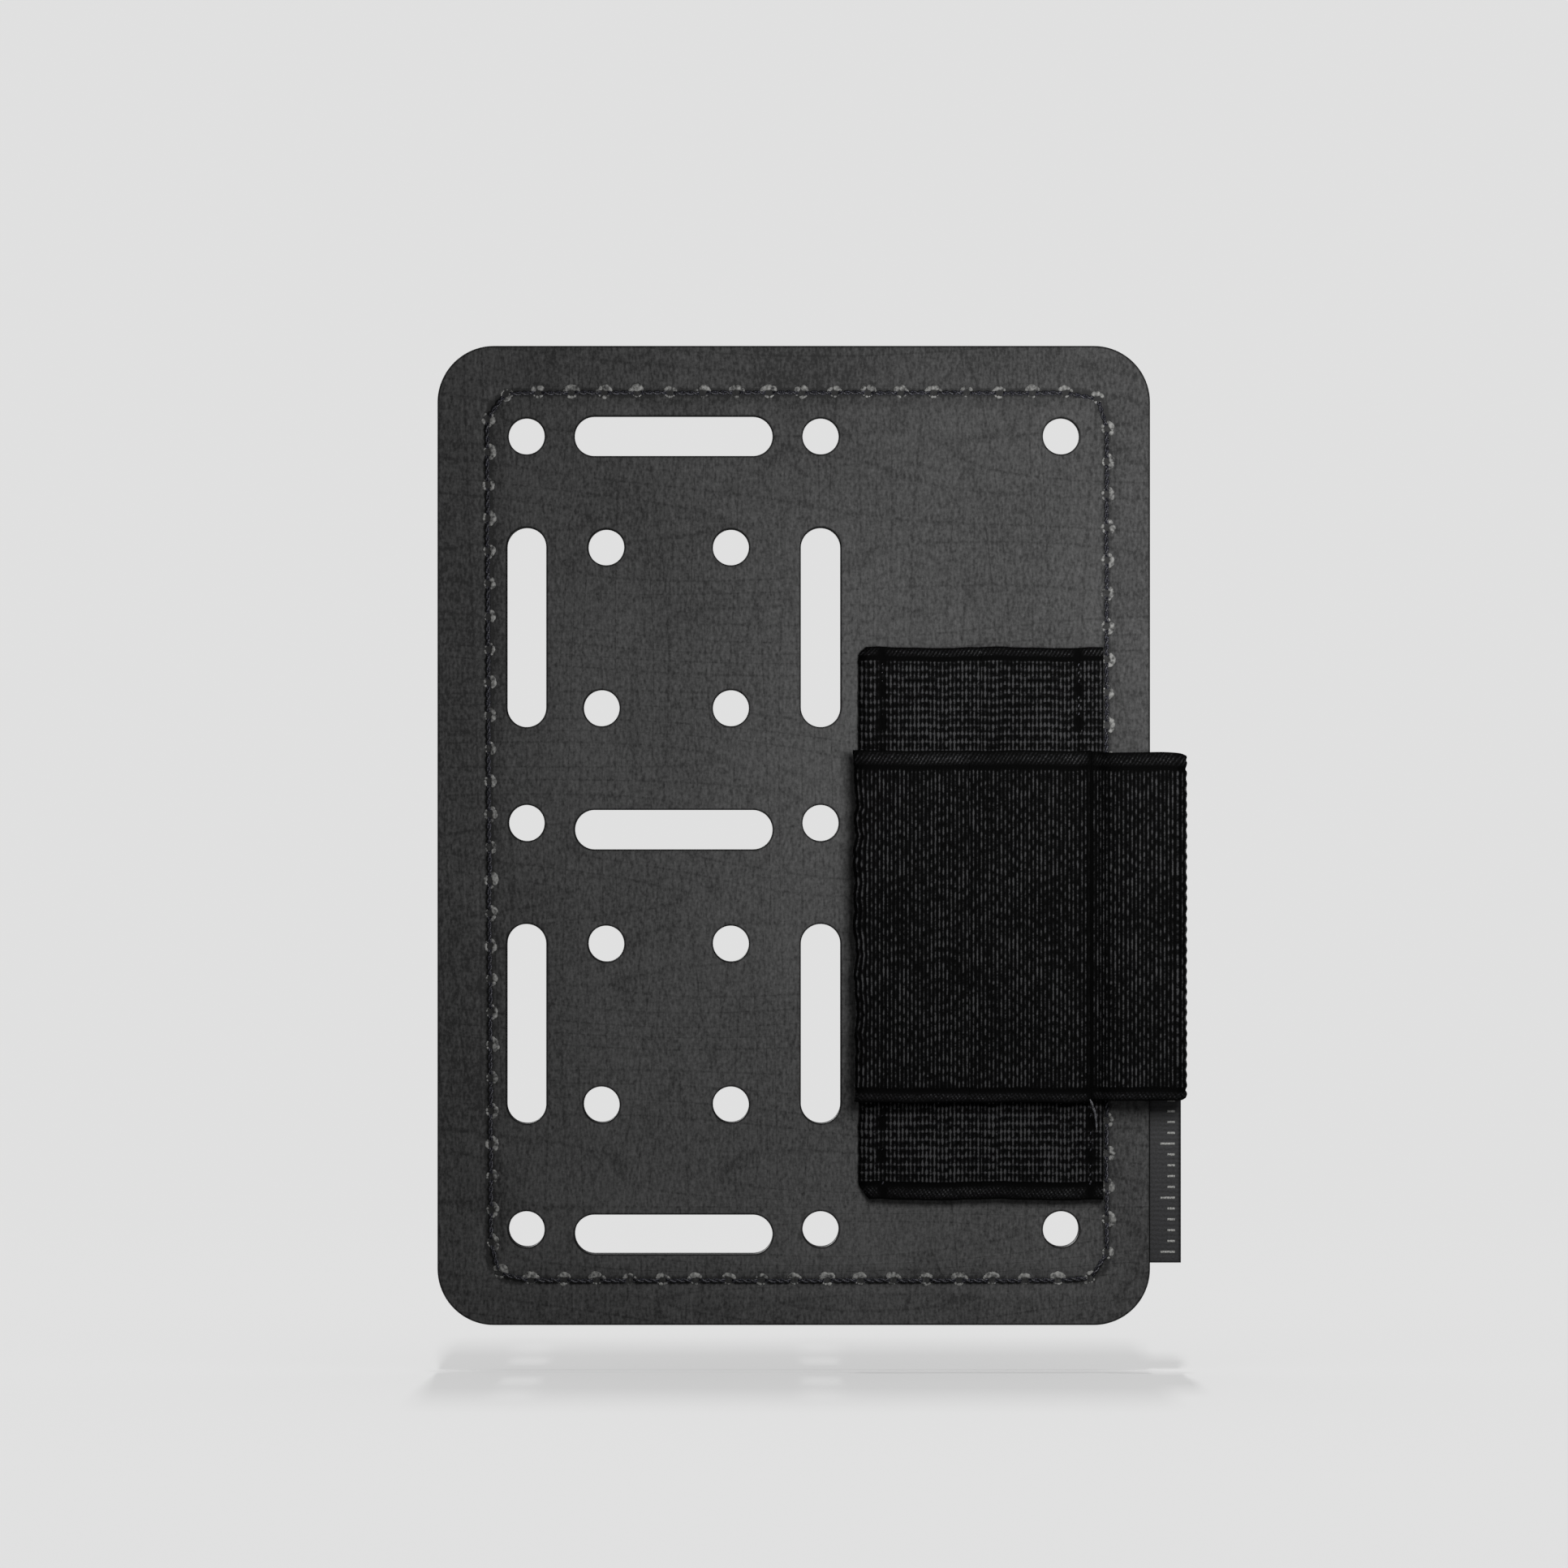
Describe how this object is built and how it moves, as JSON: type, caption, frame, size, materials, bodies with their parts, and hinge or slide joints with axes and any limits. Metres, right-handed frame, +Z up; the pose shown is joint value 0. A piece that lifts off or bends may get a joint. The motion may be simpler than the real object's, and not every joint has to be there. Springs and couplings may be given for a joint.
{
  "type": "minimalist wallet",
  "caption": "Slim upright wallet: slotted and perforated sewn panel with a card pocket behind and two elastic sleeves, a pen loop and a ribbon label in front.",
  "frame": {"origin": "middle of the panel outline, on the flat back of the card pocket", "axes": "+X to the right as seen from the front, +Z up, the front faces -Y"},
  "size_m": [0.0692, 0.0066, 0.0904],
  "materials": {
    "panel_cloth": "dark grey rubber-coated cloth with a fine upright grain, semi-matt, clean-cut edges",
    "elastic": "black ribbed woven elastic, matt",
    "thread": "black twisted bonded thread, slight sheen",
    "label_ribbon": null
  },
  "bodies": {
    "panel": {"front_panel": "panel_cloth", "liner_panel": "panel_cloth", "card_pocket": "panel_cloth", "perimeter_needle_thread": "thread", "perimeter_bobbin_thread": "thread", "inner_left_hem": "elastic", "inner_right_hem": "elastic", "outer_band_fold": "elastic", "outer_seam_strip": "elastic", "left_seam_needle_thread": "thread", "left_seam_bobbin_thread": "thread", "right_seam_needle_thread": "thread", "right_seam_bobbin_thread": "thread", "loose_thread_end": "thread", "label_tail": "label_ribbon"},
    "inner_sleeve": {"inner_sleeve_wall": "elastic"},
    "outer_band": {"outer_band_wall": "elastic"},
    "pen_loop": {"pen_loop": "elastic"},
    "label": {"label_tab": "label_ribbon"}
  },
  "joints": [
    {"name": "sleeve_stretch", "type": "slide", "parent": "panel", "child": "inner_sleeve", "axis": [0, -1, 0], "range_m": [0, 0.008], "stiffness_N_per_m": 200},
    {"name": "band_stretch", "type": "slide", "parent": "panel", "child": "outer_band", "axis": [0, -1, 0], "range_m": [0, 0.008], "stiffness_N_per_m": 200},
    {"name": "pen_loop_swing", "type": "hinge", "parent": "panel", "child": "pen_loop", "pos_m": [0.02855, -0.00475, -0.00838], "axis": [0, 0, -1], "range_deg": [0, 85], "stiffness_Nm_per_rad": 0.001},
    {"name": "label_flex", "type": "hinge", "parent": "panel", "child": "label", "pos_m": [0.0333, -0.0025, -0.027], "axis": [0, 0, 1], "range_deg": [-8, 60], "stiffness_Nm_per_rad": 0.00002}
  ],
  "couplings": [
    {"joint": "band_stretch", "follows": "sleeve_stretch", "ratio": 1}
  ]
}
